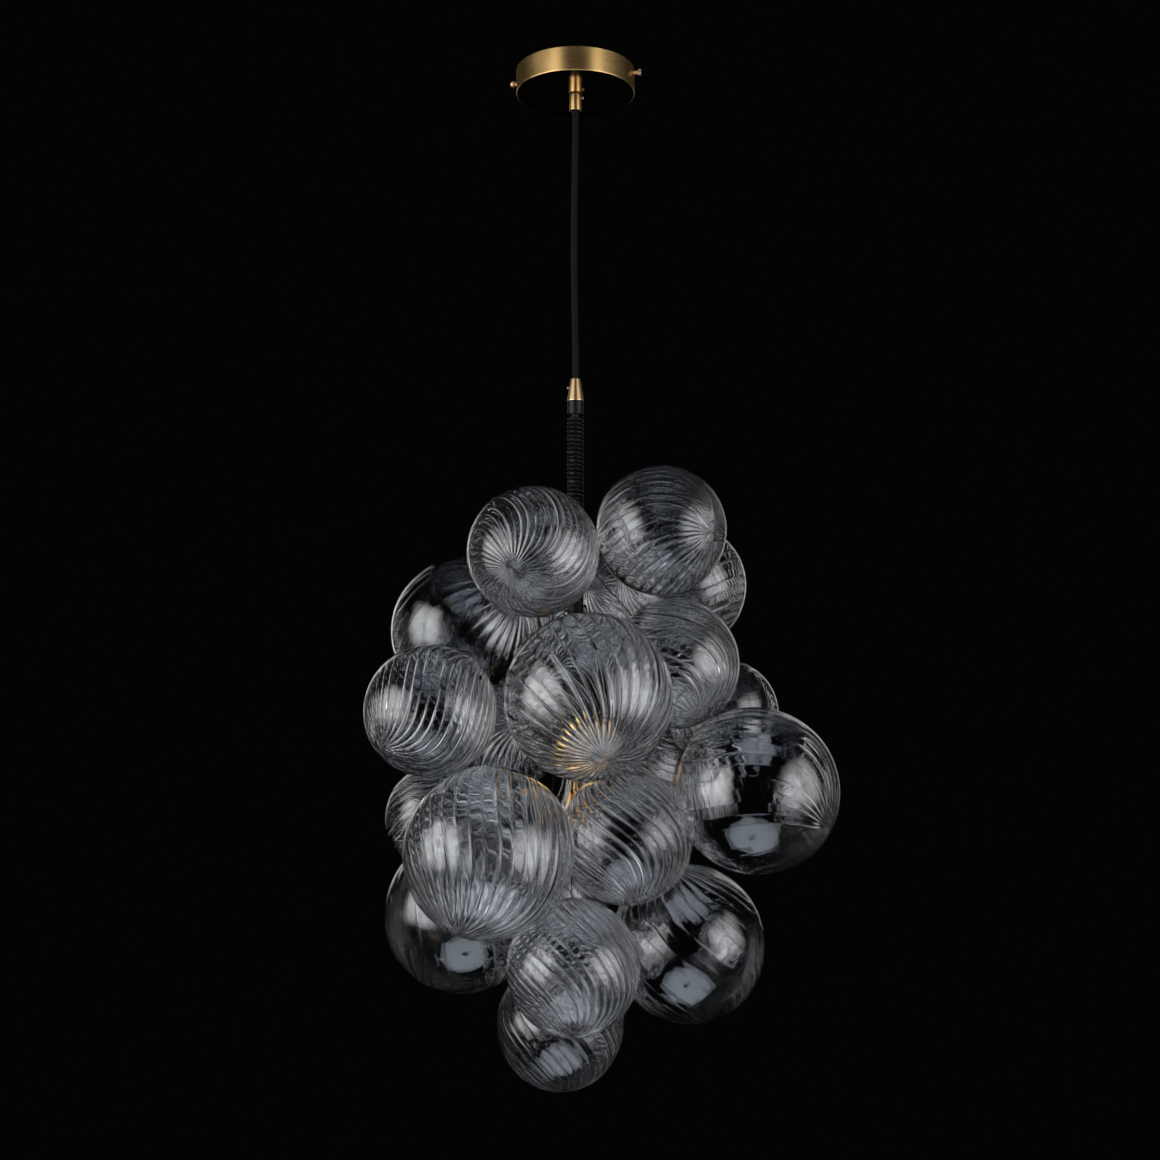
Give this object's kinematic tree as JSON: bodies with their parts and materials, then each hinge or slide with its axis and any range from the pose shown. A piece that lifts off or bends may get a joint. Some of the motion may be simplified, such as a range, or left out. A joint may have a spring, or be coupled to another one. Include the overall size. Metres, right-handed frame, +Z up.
{
  "type": "bubble chandelier",
  "caption": "Swirl-ribbed glass globes tied to a cord-wound stem around a small lamp, hung by textile cord from a round brass canopy.",
  "frame": {"origin": "centre of the crossbar's top face, which meets the ceiling", "axes": "+Z up into the ceiling; the cord hangs along -Z; seen along +Y, +X is to the right, as in the picture"},
  "size_m": [0.4613, 0.5194, 1.024],
  "materials": {
    "brushed_brass": "brushed, lacquered",
    "plated_steel": "zinc plated",
    "black_textile": "braided textile",
    "black_lacquer": "satin black",
    "wound_cord": "wound cord",
    "lead_jacket": "plain",
    "porcelain": "glazed",
    "polyamide": "moulded",
    "globe_glass": "clear, mouth-blown, swirl ribbed",
    "bulb_glass": "clear, faint amber",
    "amber_filament": "coated filament"
  },
  "bodies": {
    "ceiling_mount": {"canopy_cup": "brushed_brass", "crossbar": "plated_steel", "grip_nipple": "brushed_brass", "grip_cap": "brushed_brass", "grip_set_screw": "plated_steel", "terminal_block": "polyamide", "ceiling_lead": "lead_jacket"},
    "left_side_screw": {"side_screw_left": "brushed_brass"},
    "right_side_screw": {"side_screw_right": "brushed_brass"},
    "cord": {"suspension_cord": "black_textile"},
    "coupler": {"cone_coupler": "brushed_brass", "cone_set_screw": "plated_steel"},
    "cluster": {"stem_tube": "black_lacquer", "stem_wrap": "wound_cord", "stem_lead": "lead_jacket", "lampholder_cup": "brushed_brass", "lampholder_insert": "porcelain", "globe_01": "globe_glass", "globe_02": "globe_glass", "globe_03": "globe_glass", "globe_04": "globe_glass", "globe_05": "globe_glass", "globe_06": "globe_glass", "globe_07": "globe_glass", "globe_08": "globe_glass", "globe_09": "globe_glass", "globe_10": "globe_glass", "globe_11": "globe_glass", "globe_12": "globe_glass", "globe_13": "globe_glass", "globe_14": "globe_glass", "globe_15": "globe_glass", "globe_16": "globe_glass", "globe_17": "globe_glass", "globe_18": "globe_glass", "globe_19": "globe_glass", "globe_20": "globe_glass", "tie_01": "black_textile", "tie_02": "black_textile", "tie_03": "black_textile", "tie_04": "black_textile", "tie_05": "black_textile", "tie_06": "black_textile", "tie_07": "black_textile", "tie_08": "black_textile", "tie_09": "black_textile", "tie_10": "black_textile", "tie_11": "black_textile", "tie_12": "black_textile", "tie_13": "black_textile", "tie_14": "black_textile", "tie_15": "black_textile", "tie_16": "black_textile", "tie_17": "black_textile", "tie_18": "black_textile", "tie_19": "black_textile", "tie_20": "black_textile"},
    "bulb": {"bulb_base": "brushed_brass", "bulb_glass": "bulb_glass", "bulb_filament": "amber_filament"}
  },
  "joints": [
    {"name": "left_side_screw_turn", "type": "hinge", "parent": "ceiling_mount", "child": "left_side_screw", "pos_m": [-0.05846, 0.0135, -0.0068], "axis": [0.9744, -0.225, 0], "continuous": true},
    {"name": "right_side_screw_turn", "type": "hinge", "parent": "ceiling_mount", "child": "right_side_screw", "pos_m": [0.05846, -0.0135, -0.0068], "axis": [0.9744, -0.225, 0], "continuous": true},
    {"name": "cord_swing", "type": "hinge", "parent": "ceiling_mount", "child": "cord", "pos_m": [0, 0, -0.04], "axis": [1, 0, 0], "range_deg": [-15, 15]},
    {"name": "coupler_swing", "type": "hinge", "parent": "cord", "child": "coupler", "pos_m": [0, 0, -0.312], "axis": [0, 1, 0], "range_deg": [-15, 15]},
    {"name": "cluster_turn", "type": "hinge", "parent": "coupler", "child": "cluster", "pos_m": [0, 0, -0.3347], "axis": [0, 0, 1], "range_deg": [-180, 180]},
    {"name": "bulb_turn", "type": "hinge", "parent": "cluster", "child": "bulb", "pos_m": [0, 0, -0.7121], "axis": [0, 0, 1], "continuous": true}
  ]
}
